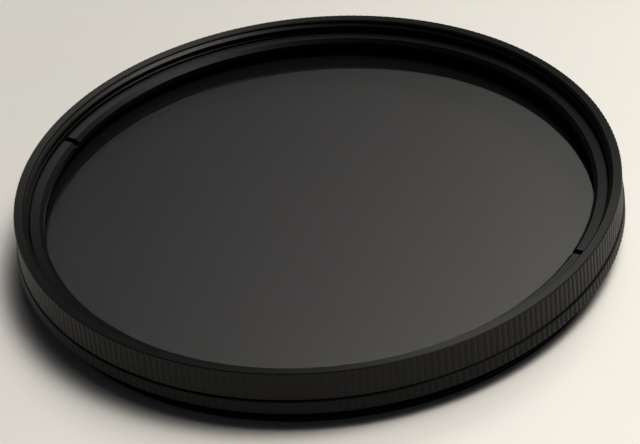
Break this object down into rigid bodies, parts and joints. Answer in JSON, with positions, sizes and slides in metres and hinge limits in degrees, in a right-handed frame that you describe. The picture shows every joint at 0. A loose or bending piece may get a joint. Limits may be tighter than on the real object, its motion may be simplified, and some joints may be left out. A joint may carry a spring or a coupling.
{
  "type": "circular polarizing filter",
  "caption": "Round screw-in polarizing filter: dark glass in a knurled ring that turns on a narrower knurled ring with a male thread.",
  "frame": {"origin": "middle of the end face of the male thread, on the surface that the filter lies on", "axes": "+Z along the optical axis from the lens side to the front; +X through one of the two spanner slots of the retaining ring"},
  "size_m": [0.0694, 0.0694, 0.0077],
  "materials": {
    "ring": "satin black anodised",
    "spring": "plain spring steel",
    "glass": "polished",
    "film": "smooth dark grey film"
  },
  "bodies": {
    "rear_mount": {"rear_ring": "ring", "snap_ring": "spring"},
    "front_mount": {"front_ring": "ring", "retaining_ring": "ring", "rear_glass": "glass", "quarter_wave_film": "film", "polarizing_film": "film", "front_glass": "glass"}
  },
  "joints": [
    {"name": "front_turn", "type": "hinge", "parent": "rear_mount", "child": "front_mount", "pos_m": [0, 0, 0.0033], "axis": [0, 0, 1], "continuous": true}
  ]
}
